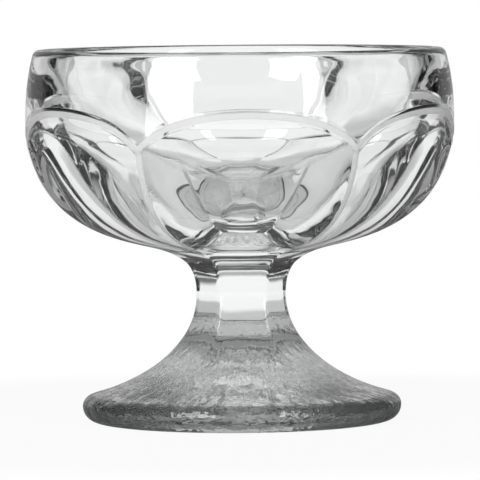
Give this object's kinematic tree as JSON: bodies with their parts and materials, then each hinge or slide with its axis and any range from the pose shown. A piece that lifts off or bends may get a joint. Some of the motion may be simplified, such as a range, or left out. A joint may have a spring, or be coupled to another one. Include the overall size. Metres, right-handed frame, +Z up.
{
  "type": "sherbet glass",
  "caption": "Footed dessert glass of clear pressed glass: thick round-rimmed bowl with arched flat panels, faceted waisted stem and a round spreading foot.",
  "frame": {"origin": "middle of the foot's standing surface", "axes": "+Z up along the glass's own axis, +X towards a ridge between two panels, -Y out of the middle of a panel"},
  "size_m": [0.092, 0.092, 0.08],
  "materials": {
    "pressed_glass": "clear colourless soda-lime glass, pressed and fire-polished"
  },
  "bodies": {
    "root": {"bowl": "pressed_glass", "stem": "pressed_glass", "foot": "pressed_glass"}
  },
  "joints": []
}
